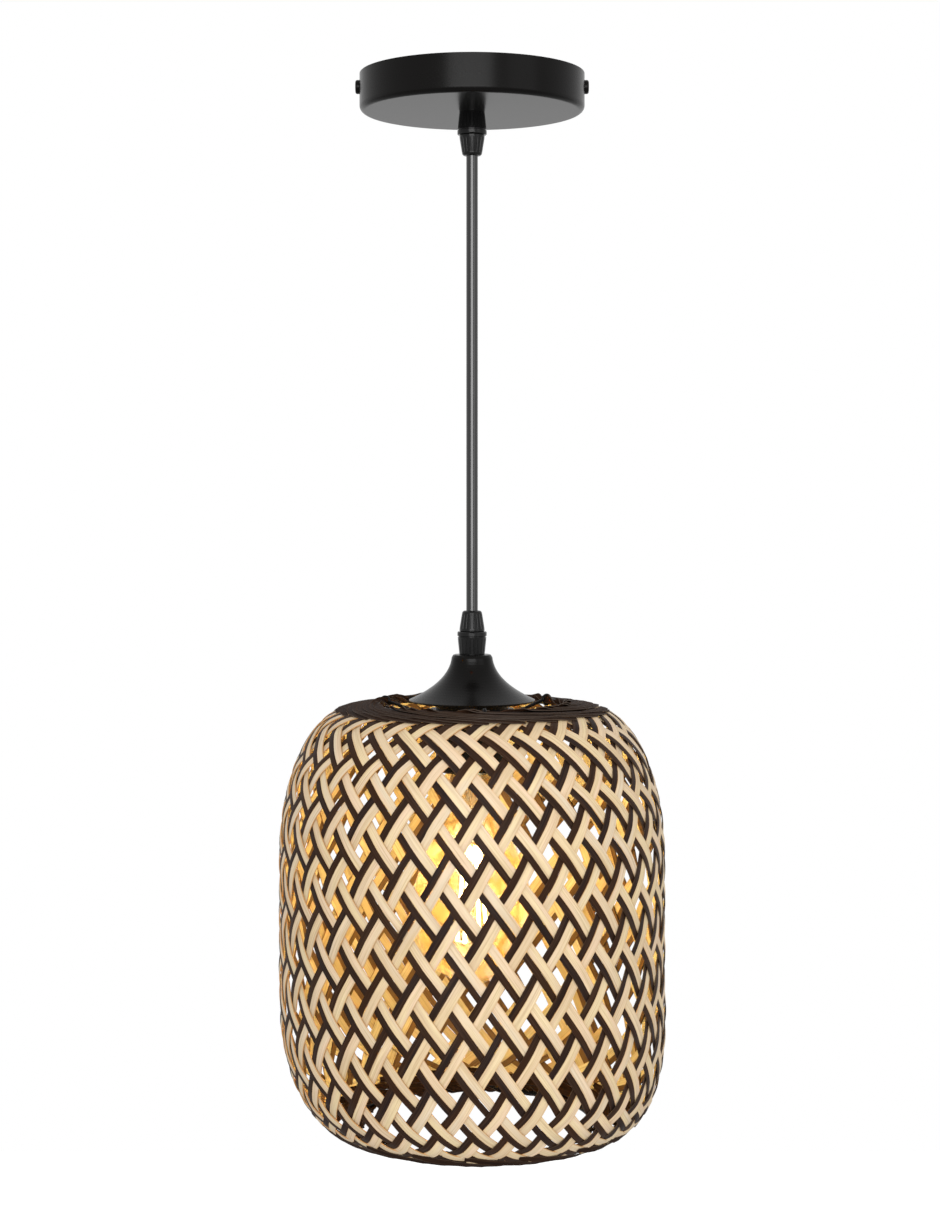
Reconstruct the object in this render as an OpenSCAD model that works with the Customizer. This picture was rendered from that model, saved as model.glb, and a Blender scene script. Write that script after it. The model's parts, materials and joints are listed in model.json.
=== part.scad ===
// Pendant lamp: a round ceiling canopy, a cord with two cord grips, a bell over the
// lampholder, a lit bulb, and a lantern-shaped shade woven from split bamboo.
// +Z is up. The origin is the centre of the canopy's rim, in the plane of the ceiling.

/* [Canopy] */
// Outer diameter of the canopy
canopy_d = 120; // [110:1:160]
// Height of the canopy
canopy_h = 20; // [20:1:40]
// Wall of the canopy
canopy_wall = 1.2; // [0.8:0.1:2]
// Radius of the canopy's lower edge
canopy_edge = 3; // [1.5:0.5:5]

/* [Mounting bracket] */
// Width of the bracket's strap
strap_w = 16; // [12:1:24]
// Thickness of the bracket's strap
strap_t = 1.8; // [1.2:0.1:3]
// Distance between the two ceiling slots
slot_spacing = 70; // [60:1:76]
// Length of each ceiling slot, end to end
slot_l = 14; // [8:1:16]
// Width of each ceiling slot
slot_w = 5.2; // [4:0.2:6]
// Diameter of the hole that the supply cable comes through
cable_hole_d = 11; // [8:1:14]
// Depth of the canopy's side screws below the ceiling
side_screw_drop = 6.6; // [6:0.2:9]
// Thread diameter of the side screws and the earth screw
screw_d = 4; // [3:0.5:5]

/* [Cord and cord grips] */
// Visible length of the cord between the two grips
cord_drop = 242.5; // [100:0.5:1500]
// Diameter of the cord
cord_d = 6.2; // [5:0.1:8]
// Diameter of the hollow stems that fasten the grips
stem_d = 10; // [10:0.5:12]
// Length of a grip's ribbed body
grip_body_h = 9.2; // [8:0.2:14]
// Diameter of the ribbed body where it is narrowest
grip_neck_d = 13.5; // [12:0.1:14]
// Diameter of the ribbed body where it is widest
grip_wide_d = 15.3; // [14:0.1:18]
// Height of the smooth ring below the ribbed body
grip_ring_h = 3; // [2:0.2:5]
// Diameter of the smooth ring
grip_ring_d = 15.7; // [15:0.1:20]
// Length of the clamping cap
grip_cap_h = 11.2; // [10:0.2:16]
// Diameter of the clamping cap at its open end
grip_cap_d = 13.4; // [13:0.1:16]
// Diameter of the clamping cap at the cord
grip_tip_d = 10.7; // [10:0.1:12]
// Number of ribs round a grip
rib_count = 20; // [12:1:28]

/* [Bell] */
// Height of the bell
bell_h = 24.2; // [22:0.2:36]
// Diameter of the bell's flat top
bell_top_d = 21; // [20:0.5:26]
// Diameter of the bell's open rim
bell_rim_d = 67.2; // [60:0.5:90]
// Wall of the bell
bell_wall = 1; // [0.8:0.1:1.2]

/* [Lampholder] */
// Outer diameter of the lampholder
holder_d = 39; // [38:0.5:40]
// Height of the lampholder, from the bell's inside to its mouth
holder_h = 61; // [58:1:70]
// Depth of the shoulder that the shade fitter sits under
shoulder_drop = 28; // [27:0.5:30]
// Diameter of the ring nut that clamps the shade fitter
ring_nut_d = 56; // [50:1:60]
// Inner diameter of the threaded brass shell
socket_d = 26.8; // [26.7:0.1:27.4]

/* [Bulb] */
// Overall length of the bulb
bulb_l = 140; // [120:1:150]
// Largest diameter of the glass
glass_d = 64; // [50:1:80]
// Thickness of the glass
glass_wall = 0.8; // [0.6:0.1:1.2]
// Diameter of the bulb's screw shell
bulb_shell_d = 26; // [25.6:0.1:26.2]
// Number of light filaments
filament_count = 6; // [3:1:8]
// Length of each filament
filament_l = 50; // [30:1:54]

/* [Shade outline] */
// Depth of the shade's top rim below the bell's top
shade_drop = 25.5; // [18:0.5:26]
// Largest diameter of the woven shade
shade_d = 205.6; // [190:0.2:260]
// Height of the woven shade, rim to rim
shade_h = 224.7; // [200:0.1:320]
// Diameter of the hole in the top
top_hole_d = 99; // [94:1:110]
// Diameter at which the top shoulder starts to curve down
top_collar_d = 127.5; // [120:0.5:134]
// Drop of the flat top collar
top_collar_drop = 2.4; // [1.6:0.1:6]
// Height of the curved top shoulder
top_shoulder_h = 78.4; // [60:0.2:90]
// Diameter of the hole in the bottom
foot_hole_d = 124; // [110:1:130]
// Diameter at which the bottom shoulder ends
foot_collar_d = 139.6; // [134:0.2:150]
// Height of the curved bottom shoulder
foot_shoulder_h = 66.2; // [50:0.2:80]
// How full the bottom shoulder is, where 2 is an ellipse
foot_fullness = 2.2; // [2:0.1:3]

/* [Weave] */
// Number of strands that lean each way
strand_count = 33; // [28:1:36]
// Lean of the strands that run down to the right, at the belly
right_lean = 36; // [30:1:38]
// Lean of the strands that run down to the left, at the belly
left_lean = 31; // [28:1:36]
// Width of the natural strip in a right strand
right_natural_w = 4.4; // [3:0.1:4.6]
// Width of the black strip in a right strand
right_black_w = 3.5; // [2:0.1:3.6]
// Width of the natural strip in a left strand
left_natural_w = 4.3; // [3:0.1:4.6]
// Width of the black strip in a left strand
left_black_w = 3.9; // [2:0.1:4]
// Gap between the two strips of a strand
strip_gap = 0.15; // [0.05:0.05:0.4]
// Thickness of a strip
strip_t = 0.6; // [0.4:0.05:0.8]
// How far a strand moves out and in as it crosses the others
crimp = 1; // [0.9:0.05:1.4]
// Share of its width that a strip keeps at the rims
rim_taper = 0.7; // [0.5:0.05:0.8]
// Distance along the shade from the top shoulder's start to the first row of crossings
first_row_s = 5; // [4:0.2:6]

/* [Borders] */
// Thickness of a border band
band_t = 1; // [0.8:0.1:1.4]
// Gap between the two bands of a border, which holds the strip ends
band_gap = 2.2; // [2:0.1:3]
// How far the top bands reach past the start of the shoulder
top_band_reach = 2.4; // [2.2:0.2:4]
// Diameter of the bottom bands' outer edge
foot_band_d = 171; // [160:1:176]

/* [Hidden] */

$fn = 72;
seat = 0.05;       // clearance of a seated fit
loose = 0.3;       // clearance of a piece that passes through freely
overrun = 1;       // how far a cutter runs past the face that it cuts

// Heights, from the ceiling down
grip_h = grip_body_h + grip_ring_h + grip_cap_h;
canopy_floor = -canopy_h + canopy_wall;
cord_start = -canopy_h - grip_h;
cord_end = cord_start - cord_drop;
bell_top = cord_end - grip_h;
holder_top = bell_top - bell_wall;
shade_top = bell_top - shade_drop;

// Cord bends: the first length below the upper grip bends, the rest stays straight
bend_l = 14.5;
bend_end = cord_start - bend_l;
cord_sides = 8;

// Pieces inside the canopy
washer_t = 1;
nut_h = 4;
nut_flats = 14;
stem_l = canopy_wall + washer_t + nut_h + 2;
sheath_end = -canopy_h + stem_l + 4;
block_l = 24;
block_w = 15;
block_h = 10;
block_y = 20;
pole_pitch = 12;
lead_d = 2.2;

// Lampholder
holder_r = holder_d / 2;
neck_r = 7.5;
neck_h = 5.7;
dome_h = 15;
cap_skirt_h = 4;
cap_h = neck_h + dome_h + cap_skirt_h;
shoulder_t = 2.4;
shoulder_r = holder_r + 2.8;
ring_r = 26;
fitter_t = 2.4;
nut_top = shoulder_drop + shoulder_t + fitter_t + 2 * seat;
ring_nut_h = 8;
core_top = cap_h + 2;
core_h = 5;
core_hole_x = 8;
shell_t = 0.5;
shell_h = 23;
shell_top = holder_h - shell_h - 3;

// Bulb, as depths below the lampholder's top
bulb_tip = core_top + core_h + 2.6;
bulb_end = bulb_tip + bulb_l;
tip_r = 5;
contact_h = 2;
insulator_h = 3.4;
glass_r = glass_d / 2;
thread_depth = 0.5;
bulb_shell_h = 18.6;
bulb_shell_in_r = bulb_shell_d / 2 - 2 * thread_depth - 0.6;
glass_neck_r = bulb_shell_in_r - seat;
glass_drop = 20;
glass_flank = 26;
glass_neck_run = 6;
glass_top = bulb_tip + glass_drop;
glass_belly = bulb_end - glass_r * 1.3;
filament_drop = 66;
filament_top = bulb_tip + filament_drop;
filament_r_top = 4;
filament_r_low = 8;
filament_d = 1.8;
filament_wire_d = 0.7;
filament_hub_r = 2.4;
filament_hub_h = 1.6;
filament_tuck = 0.5;
stem_rod_r = 1.2;
stem_neck_r = 2.6;
stem_flare_r = 4.5;
stem_foot_r = 5.5;
stem_rise = 14;    // from the filaments' top to the neck of the stem
stem_flare_h = 8;
stem_cone_h = 6;
stem_bore_r = 3;

// Shade: outer surface, then the middle of the weave that lies under it
crust = crimp + strip_t / 2;
pair_crimp = 1.8 * crimp;
belly_r = shade_d / 2 - crust;
top_r = top_collar_d / 2;
foot_r = foot_collar_d / 2;
collar_z = shade_top - top_collar_drop - crust;
foot_z = shade_top - shade_h + crust;
hoop_d = band_gap - 2 * seat;
top_hoop_r = top_hole_d / 2 + hoop_d / 2 + 0.6;
foot_hoop_r = foot_hole_d / 2 + hoop_d / 2 + 0.6;
arc_steps = 32;

// Shade fitter: three wire arms, each with a slightly thicker eye round the top hoop
arm_d = 1.8;
wire_d = 2;
eye_r = hoop_d / 2 + wire_d / 2 + loose;
arm_count = 3;
arm_start = 37;
notch_w = wire_d + 2 * loose;

// ---- Outline helpers ----

function bezier(a, b, c, n) =
    [for (i = [0:n]) let (t = i / n) (1 - t) * (1 - t) * a + 2 * t * (1 - t) * b + t * t * c];

function arc(centre, r, from, to, n) =
    [for (i = [0:n]) let (a = from + (to - from) * i / n) centre + r * [cos(a), sin(a)]];

function reversed(list) = [for (i = [len(list) - 1:-1:0]) list[i]];

function unit(v) = v / norm(v);

// Unit vector square to an open line at point i, on its left-hand side
function line_normal(line, i) =
    let (a = line[max(i - 1, 0)], b = line[min(i + 1, len(line) - 1)], d = unit(b - a))
    [-d.y, d.x];

function offset_line(line, gap) =
    [for (i = [0:len(line) - 1]) line[i] + gap * line_normal(line, i)];

// Closed outline of a wall of thickness t that lies along a line
function wall_outline(line, from, to) =
    concat(offset_line(line, from), reversed(offset_line(line, to)));

// Tube swept along points, with rings square to the path
module tube(points, d, sides) {
    n = len(points);
    ring = [for (i = [0:n - 1])
        let (dir = unit(points[min(i + 1, n - 1)] - points[max(i - 1, 0)]),
             side = unit(cross(dir, abs(dir.x) > 0.9 ? [0, 1, 0] : [1, 0, 0])),
             up = cross(side, dir))
        for (k = [0:sides - 1])
            let (a = 360 * k / sides)
            points[i] + d / 2 * (cos(a) * side + sin(a) * up)];
    walls = [for (i = [0:n - 2], k = [0:sides - 1])
        let (m = (k + 1) % sides)
        [i * sides + k, i * sides + m, (i + 1) * sides + m, (i + 1) * sides + k]];
    first = [[for (k = [sides - 1:-1:0]) k]];
    last = [[for (k = [0:sides - 1]) (n - 1) * sides + k]];
    polyhedron(ring, concat(first, walls, last), convexity = 4);
}

// ---- Ceiling side ----

// Half the bracket's length: its ears stand just inside the canopy's curved wall
function ear_x() =
    let (r = canopy_d / 2 - canopy_wall)
    sqrt(r * r - strap_w * strap_w / 4) - seat;

module mounting_bracket() color("silver") {
    x = ear_x();
    bend = strap_t + 1;
    low = -side_screw_drop - screw_d * 1.3;
    outer = concat([[-x, low]], arc([-x + bend, -bend], bend, 180, 90, 6),
        arc([x - bend, -bend], bend, 90, 0, 6), [[x, low]]);
    inner = concat([[x - strap_t, low]], arc([x - bend, -bend], 1, 0, 90, 4),
        arc([-x + bend, -bend], 1, 90, 180, 4), [[-x + strap_t, low]]);
    difference() {
        rotate([90, 0, 0])
            linear_extrude(strap_w, center = true)
                polygon(concat(outer, inner));
        for (side = [-1, 1]) translate([side * slot_spacing / 2, 0, -strap_t - overrun]) {
            for (end = [-1, 1])
                translate([end * (slot_l - slot_w) / 2, 0, 0])
                    cylinder(d = slot_w, h = strap_t + 2 * overrun);
            translate([-(slot_l - slot_w) / 2, -slot_w / 2, 0])
                cube([slot_l - slot_w, slot_w, strap_t + 2 * overrun]);
        }
        translate([0, 0, -strap_t - overrun])
            cylinder(d = cable_hole_d, h = strap_t + 2 * overrun);
        translate([-earth_x(), 0, -strap_t - overrun])
            cylinder(d = screw_d + 2 * seat, h = strap_t + 2 * overrun);
        translate([-x - overrun, 0, -side_screw_drop])
            rotate([0, 90, 0])
                cylinder(d = screw_d + 2 * seat, h = 2 * (x + overrun));
    }
}

// The earth screw stands midway between the cable hole and a slot
function earth_x() = (cable_hole_d / 2 + slot_spacing / 2 - slot_l / 2) / 2;

// Pan-head screw along +Z, its head's seat at z = 0
module pan_screw(length) {
    head_r = screw_d * 0.93;
    head_h = screw_d * 0.55;
    difference() {
        union() {
            rotate_extrude()
                polygon(concat([[0, head_h], [0, 0], [head_r, 0]],
                    arc([head_r - 1, head_h - 1], 1, 0, 90, 6)));
            translate([0, 0, -length])
                cylinder(d = screw_d, h = length + seat);
        }
        for (turn = [0, 90]) rotate(turn)
            translate([-head_r * 0.6, -0.4, head_h - 0.9])
                cube([head_r * 1.2, 0.8, 0.9 + overrun]);
    }
}

module side_screws() color([0.08, 0.08, 0.08]) {
    for (side = [0, 180]) rotate(side)
        translate([canopy_d / 2 + seat, 0, -side_screw_drop])
            rotate([0, 90, 0])
                pan_screw(canopy_wall + strap_t + 3);
}

module earth_screw() color("gold") {
    translate([-earth_x(), 0, -strap_t - lead_d - 2 * seat])
        rotate([180, 0, 0])
            pan_screw(strap_t + lead_d + 2 * seat + 1);
}

module canopy() color([0.09, 0.09, 0.09]) {
    r = canopy_d / 2;
    hole_r = stem_d / 2 + seat;
    in_edge = max(canopy_edge - canopy_wall, 0.3);
    outer = concat([[hole_r, -canopy_h]],
        arc([r - canopy_edge, -canopy_h + canopy_edge], canopy_edge, -90, 0, 10), [[r, 0]]);
    inner = concat([[r - canopy_wall, 0]],
        arc([r - canopy_wall - in_edge, canopy_floor + in_edge], in_edge, 0, -90, 8),
        [[hole_r, canopy_floor]]);
    difference() {
        rotate_extrude($fn = 120)
            polygon(concat(outer, inner));
        translate([-r - overrun, 0, -side_screw_drop])
            rotate([0, 90, 0])
                cylinder(d = screw_d + loose, h = 2 * (r + overrun));
    }
}

module terminal_block() color("ivory") {
    difference() {
        translate([-block_l / 2, block_y, canopy_floor])
            cube([block_l, block_w, block_h]);
        for (side = [-1, 1]) translate([side * pole_pitch / 2, 0, canopy_floor]) {
            translate([0, block_y - overrun, block_h / 2])
                rotate([-90, 0, 0])
                    cylinder(d = 5, h = block_w + 2 * overrun);
            for (y = [0.25, 0.75])
                translate([0, block_y + y * block_w, block_h / 2])
                    cylinder(d = 4, h = block_h);
        }
        translate([-0.8, block_y - overrun, canopy_floor + block_h * 0.6])
            cube([1.6, block_w + 2 * overrun, block_h]);
    }
}

// Brass barrel with two clamp screws in each pole
module terminal_clamps() color("gold") {
    for (side = [-1, 1]) translate([side * pole_pitch / 2, 0, canopy_floor + block_h / 2]) {
        difference() {
            translate([0, block_y + 1, 0])
                rotate([-90, 0, 0])
                    cylinder(d = 5 - 2 * seat, h = block_w - 2);
            translate([0, block_y, 0])
                rotate([-90, 0, 0])
                    cylinder(d = lead_d + 2 * seat, h = block_w);
        }
        for (y = [0.25, 0.75]) translate([0, block_y + y * block_w, 1.9]) difference() {
            cylinder(d = 3, h = 2.6);
            translate([-2, -0.3, 2])
                cube([4, 0.6, overrun]);
        }
    }
}

// Lead from the sheath's end over the lock nut and down into a pole of the block
module lead_to_block(side) {
    x = side * pole_pitch / 2;
    z = canopy_floor + block_h / 2;
    start = [side * 1.5, 0.8, sheath_end];
    over = [x * 0.6, 6, sheath_end + 3.4];
    mouth = [x, block_y - 3, z];
    tube([start, start + [0, 0, 2], over, mouth, [x, block_y + 5, z]], lead_d, 8);
}

module canopy_leads() color("saddlebrown") {
    lead_to_block(-1);
    lead_to_block(1);
}

module earth_lead() color("yellowgreen") {
    z = -strap_t - lead_d / 2 - seat;
    y = -(screw_d + lead_d) / 2 - seat;
    tube([[0, -1.8, sheath_end], [0, -1.8, sheath_end + 1.5], [-4, y, z],
        [-earth_x() - screw_d, y, z]], lead_d, 8);
}

module lock_washer() color("silver") {
    difference() {
        translate([0, 0, canopy_floor])
            cylinder(d = 17, h = washer_t);
        translate([0, 0, canopy_floor - overrun])
            cylinder(d = stem_d + 2 * seat, h = washer_t + 2 * overrun);
    }
}

module lock_nut() color("silver") {
    difference() {
        translate([0, 0, canopy_floor + washer_t])
            cylinder(d = nut_flats / cos(30), h = nut_h, $fn = 6);
        translate([0, 0, canopy_floor])
            cylinder(d = stem_d + 2 * seat, h = nut_h + washer_t + overrun);
    }
}

// ---- Cord grips: local z = 0 is the face that the grip screws against ----

spigot_h = 6;
spigot_d = 10.2;
chuck_h = grip_cap_h - spigot_h - 1.4;

module ribs(r_top, r_low, z_top, z_low) {
    tilt = atan((r_low - r_top) / (z_top - z_low));
    for (i = [0:rib_count - 1]) rotate((i + 0.5) * 360 / rib_count)
        translate([(r_top + r_low) / 2 + 0.2, 0, (z_top + z_low) / 2])
            rotate([0, -tilt, 0])
                cylinder(d = 1.1, h = (z_top - z_low), center = true, $fn = 16);
}

module grip_body() color([0.07, 0.07, 0.07]) {
    ring_z = -grip_body_h;
    groove = 0.35;
    profile = [[0, stem_l], [stem_d / 2 - 0.6, stem_l], [stem_d / 2, stem_l - 0.6],
        [stem_d / 2, 0], [grip_neck_d / 2, 0], [grip_wide_d / 2, ring_z],
        [grip_wide_d / 2 - groove, ring_z - 0.1], [grip_wide_d / 2 - groove, ring_z - 0.5],
        [grip_ring_d / 2, ring_z - 0.8], [grip_ring_d / 2, ring_z - grip_ring_h + 0.4],
        [grip_ring_d / 2 - 0.4, ring_z - grip_ring_h], [spigot_d / 2, ring_z - grip_ring_h],
        [spigot_d / 2, ring_z - grip_ring_h - spigot_h], [0, ring_z - grip_ring_h - spigot_h]];
    difference() {
        rotate_extrude()
            polygon(profile);
        translate([0, 0, -grip_h])
            cylinder(d = cord_d + 2 * loose, h = 2 * grip_h);
        ribs(grip_neck_d / 2, grip_wide_d / 2, -0.8, ring_z + 0.8);
    }
}

// Split collet that the cap presses on the cord
module grip_chuck() color("dimgray") {
    top = -grip_body_h - grip_ring_h - spigot_h - seat;
    difference() {
        translate([0, 0, top - chuck_h])
            cylinder(d1 = cord_d + 2.2, d2 = spigot_d - 0.4, h = chuck_h);
        translate([0, 0, top - chuck_h - overrun])
            cylinder(d = cord_d + 2 * seat, h = chuck_h + 2 * overrun);
        for (turn = [0, 90]) rotate(turn)
            translate([-spigot_d, -0.3, top - chuck_h - overrun])
                cube([2 * spigot_d, 0.6, chuck_h * 0.7 + overrun]);
    }
}

module grip_cap() color([0.07, 0.07, 0.07]) {
    top = -grip_body_h - grip_ring_h - seat;
    low = -grip_h;
    seat_z = top - spigot_h;
    tip = 1.6;
    outer = concat([[spigot_d / 2 + seat, top], [grip_cap_d / 2 - 0.4, top],
        [grip_cap_d / 2, top - 0.4], [grip_cap_d / 2, top - 1.2]],
        arc([grip_tip_d / 2 - tip, low + tip], tip, 0, -90, 8));
    inner = [[cord_d / 2 + seat, low], [cord_d / 2 + seat, low + 1],
        [cord_d / 2 + 1.1 + 3 * seat, seat_z - chuck_h - seat],
        [spigot_d / 2 - 0.2 + seat, seat_z], [spigot_d / 2 + seat, seat_z]];
    difference() {
        rotate_extrude()
            polygon(concat(outer, inner));
        ribs(grip_cap_d / 2, grip_tip_d / 2, top - 1.6, low + 1.6);
    }
}

// The lower grip is the upper one turned over, screwed to the bell's top
module at_upper_grip() {
    translate([0, 0, -canopy_h])
        children();
}

module at_lower_grip() {
    translate([0, 0, bell_top])
        rotate([180, 0, 0])
            children();
}

module upper_grip_body() { at_upper_grip() grip_body(); }
module upper_grip_chuck() { at_upper_grip() grip_chuck(); }
module upper_grip_cap() { at_upper_grip() grip_cap(); }
module lower_grip_body() { at_lower_grip() grip_body(); }
module lower_grip_chuck() { at_lower_grip() grip_chuck(); }
module lower_grip_cap() { at_lower_grip() grip_cap(); }

// ---- Cord ----

module cord_tail() color([0.05, 0.05, 0.05]) {
    tube([[0, 0, sheath_end], [0, 0, cord_start]], cord_d, cord_sides);
}

module cord_top() color([0.05, 0.05, 0.05]) {
    tube([[0, 0, cord_start], [0, 0, bend_end]], cord_d, cord_sides);
}

module pendant_cord() color([0.05, 0.05, 0.05]) {
    tube([[0, 0, bend_end], [0, 0, cord_end]], cord_d, cord_sides);
}

module cord_foot() color([0.05, 0.05, 0.05]) {
    tube([[0, 0, cord_end], [0, 0, holder_top - neck_h - 2]], cord_d, cord_sides);
}

// ---- Bell and lampholder ----

module bell() color([0.08, 0.08, 0.08]) {
    round_r = 1.2;
    neck = [bell_top_d / 2 + 0.4, bell_top - 1.6];
    rim = [bell_rim_d / 2, bell_top - bell_h];
    belly = [bell_top_d / 2 + 1.8, bell_top - 0.6 * bell_h];
    flare = bezier(neck, belly, rim, 16);
    crown = arc([bell_top_d / 2 - round_r, bell_top - round_r], round_r, 90, 20, 5);
    outer = concat([[stem_d / 2 + seat, bell_top]], crown, flare);
    difference() {
        rotate_extrude($fn = 120)
            polygon(wall_outline(outer, 0, -bell_wall));
        translate([0, 0, bell_top - 2 * bell_wall])
            cylinder(d = stem_d + 2 * seat, h = 3 * bell_wall);
    }
}

module lampholder_cap() color([0.1, 0.1, 0.1]) {
    wall = 2;
    dome = bezier([neck_r, -neck_h], [2 * neck_r, -neck_h - dome_h / 3],
        [holder_r, -neck_h - dome_h], 10);
    outer = concat([[neck_r, 0]], dome, [[holder_r, -cap_h]]);
    inner = concat([[holder_r - wall, -cap_h], [holder_r - wall, -neck_h - dome_h]],
        reversed([for (p = dome) if (p.x > stem_d / 2 + wall + 1) p - [wall, wall]]),
        [[stem_d / 2 + seat, -neck_h - wall], [stem_d / 2 + seat, 0]]);
    translate([0, 0, holder_top])
        rotate_extrude()
            polygon(concat(outer, inner));
}

module lampholder_body() color([0.1, 0.1, 0.1]) {
    wall = 2;
    mouth_r = socket_d / 2 + shell_t + 0.4;
    skirt_r = holder_r - 0.2;
    low = -holder_h;
    translate([0, 0, holder_top])
        rotate_extrude()
            polygon([[skirt_r, -cap_h - seat], [skirt_r, -shoulder_drop],
                [shoulder_r, -shoulder_drop], [shoulder_r, -shoulder_drop - shoulder_t],
                [skirt_r, -shoulder_drop - shoulder_t], [skirt_r, low + 1], [skirt_r - 1, low],
                [mouth_r + 0.6, low], [mouth_r, low + 0.6], [mouth_r, -core_top - core_h - 4],
                [mouth_r + 2, -core_top - core_h - 2], [mouth_r + 2, -core_top - core_h],
                [skirt_r - wall, -core_top - core_h], [skirt_r - wall, -cap_h - seat]]);
}

// Ceramic core that carries the contacts, with two holes for the leads
module lampholder_core() color("white") {
    r = holder_r - 2.2 - seat;
    translate([0, 0, holder_top - core_top - core_h]) difference() {
        cylinder(r = r, h = core_h);
        for (side = [-1, 1])
            translate([side * core_hole_x, 0, -overrun])
                cylinder(d = lead_d + 2 * loose, h = core_h + 2 * overrun);
    }
}

module socket_shell() color("gold") {
    r = socket_d / 2;
    flare = 0.5;
    translate([0, 0, holder_top])
        rotate_extrude()
            polygon([[r, -shell_top - shell_h], [r + shell_t, -shell_top - shell_h],
                [r + shell_t, -core_top - core_h - seat],
                [r - flare, -core_top - core_h - seat],
                [r - flare, -core_top - core_h - seat - shell_t],
                [r, -core_top - core_h - seat - shell_t]]);
}

// Spring tab under the core, bent down to the bulb's contact
module centre_contact() color("gold") {
    z = holder_top - core_top - core_h - seat;
    t = 0.5;
    tip_z = holder_top - bulb_tip + loose;
    rotate([90, 0, 0])
        linear_extrude(6, center = true)
            polygon([[-8, z], [-8, z - t], [-3.4, z - t], [-1.6, tip_z], [1.6, tip_z],
                [1.6, tip_z + t], [-1.2, tip_z + t], [-3, z]]);
}

// Leads from the cord's end to the core's two holes
module holder_leads() color("saddlebrown") {
    top = holder_top - neck_h - 2;
    core_z = holder_top - core_top;
    for (side = [-1, 1])
        tube([[side * 1.4, 0, top], [side * 1.4, 0, top - 3],
            [side * core_hole_x, 0, core_z + 3], [side * core_hole_x, 0, core_z - 3]], lead_d, 8);
}

module ring_nut() color([0.1, 0.1, 0.1]) {
    hub_r = holder_r + 3.5;
    r = ring_nut_d / 2;
    flange = 2.2;
    grip_slots = 12;
    z = -nut_top;
    difference() {
        translate([0, 0, holder_top])
            rotate_extrude()
                polygon([[holder_r - 0.2 + seat, z], [r - 0.5, z], [r, z - 0.5],
                    [r, z - flange], [hub_r + 1, z - flange], [hub_r, z - flange - 1],
                    [hub_r, z - ring_nut_h], [holder_r - 0.2 + seat, z - ring_nut_h]]);
        for (i = [0:grip_slots - 1]) rotate((i + 0.5) * 360 / grip_slots)
            translate([r + 0.6, 0, holder_top + z - flange - overrun])
                cylinder(d = 3, h = flange + 2 * overrun, $fn = 24);
    }
}

// ---- Shade fitter: a flat ring with three wire arms that end in eyes ----

function rim_line() = [[top_hole_d / 2, shade_top - crust], [top_r, collar_z]];

function rim_point(r) =
    let (a = rim_line()[0], b = rim_line()[1])
    [r, a.y + (b.y - a.y) * (r - a.x) / (b.x - a.x)];

module arm_wire(a, b) {
    d = b - a;
    translate(a)
        rotate([0, acos(d.z / norm(d)), atan2(d.y, d.x)])
            cylinder(d = arm_d, h = norm(d), $fn = 24);
}

module shade_fitter() color([0.1, 0.1, 0.1]) {
    ring_z = holder_top - shoulder_drop - shoulder_t - seat;
    eye = rim_point(top_hoop_r);
    start = [ring_r - 1.5, 0, ring_z - fitter_t / 2];
    knee = [ring_r + 4, 0, ring_z - fitter_t / 2];
    tip = [eye.x - eye_r, 0, eye.y];
    translate([0, 0, ring_z - fitter_t])
        difference() {
            cylinder(r = ring_r, h = fitter_t);
            translate([0, 0, -overrun])
                cylinder(r = holder_r - 0.2 + seat, h = fitter_t + 2 * overrun);
        }
    for (i = [0:arm_count - 1]) rotate(arm_start + i * 360 / arm_count) {
        arm_wire(start, knee);
        translate(knee)
            sphere(d = arm_d + 0.1, $fn = 24);
        arm_wire(knee, tip);
        translate([eye.x, 0, eye.y])
            rotate([90, 0, 0])
                rotate_extrude($fn = 36)
                    translate([eye_r, 0])
                        circle(d = wire_d, $fn = 24);
    }
}

// ---- Shade ----

// Middle of the weave, from the top collar round the belly to the foot
function top_curve() =
    [for (i = [0:arc_steps]) let (a = 90 * i / arc_steps)
        [top_r + (belly_r - top_r) * sin(a), collar_z - (top_shoulder_h - crust) * (1 - cos(a))]];

function foot_curve() =
    let (p = 2 / foot_fullness)
    [for (i = [arc_steps:-1:0]) let (a = 90 * i / arc_steps)
        [foot_r + (belly_r - foot_r) * pow(sin(a), p),
            foot_z + (foot_shoulder_h - crust) * (1 - pow(cos(a), p))]];

weave_line = concat(top_curve(), foot_curve());

// Distance along the line at each of its points
line_s = [for (i = 0, s = 0; i < len(weave_line);
    s = s + (i + 1 < len(weave_line) ? norm(weave_line[i + 1] - weave_line[i]) : 0), i = i + 1) s];
radius_at = [for (i = [0:len(weave_line) - 1]) [line_s[i], weave_line[i].x]];
height_at = [for (i = [0:len(weave_line) - 1]) [line_s[i], weave_line[i].y]];

function on_weave(s) = [lookup(s, radius_at), lookup(s, height_at)];

// Outward unit normal of the weave's middle at distance s
function weave_normal(s) =
    let (d = unit(on_weave(s + 0.5) - on_weave(s - 0.5)))
    [-d.y, d.x];

// A strand keeps to the shortest path round the shade, so its lean grows as the shade narrows
function lean_tan(r, lean) =
    let (k = min(belly_r * sin(lean) / r, 0.98))
    k / sqrt(1 - k * k);

pitch = 360 / strand_count;
right_share = tan(right_lean) / (tan(right_lean) + tan(left_lean));
least_row = 8;

function row_height(s) =
    let (r = lookup(s, radius_at))
    max(least_row, 2 * PI * r / strand_count
        / (lean_tan(r, right_lean) + lean_tan(r, left_lean)));

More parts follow.
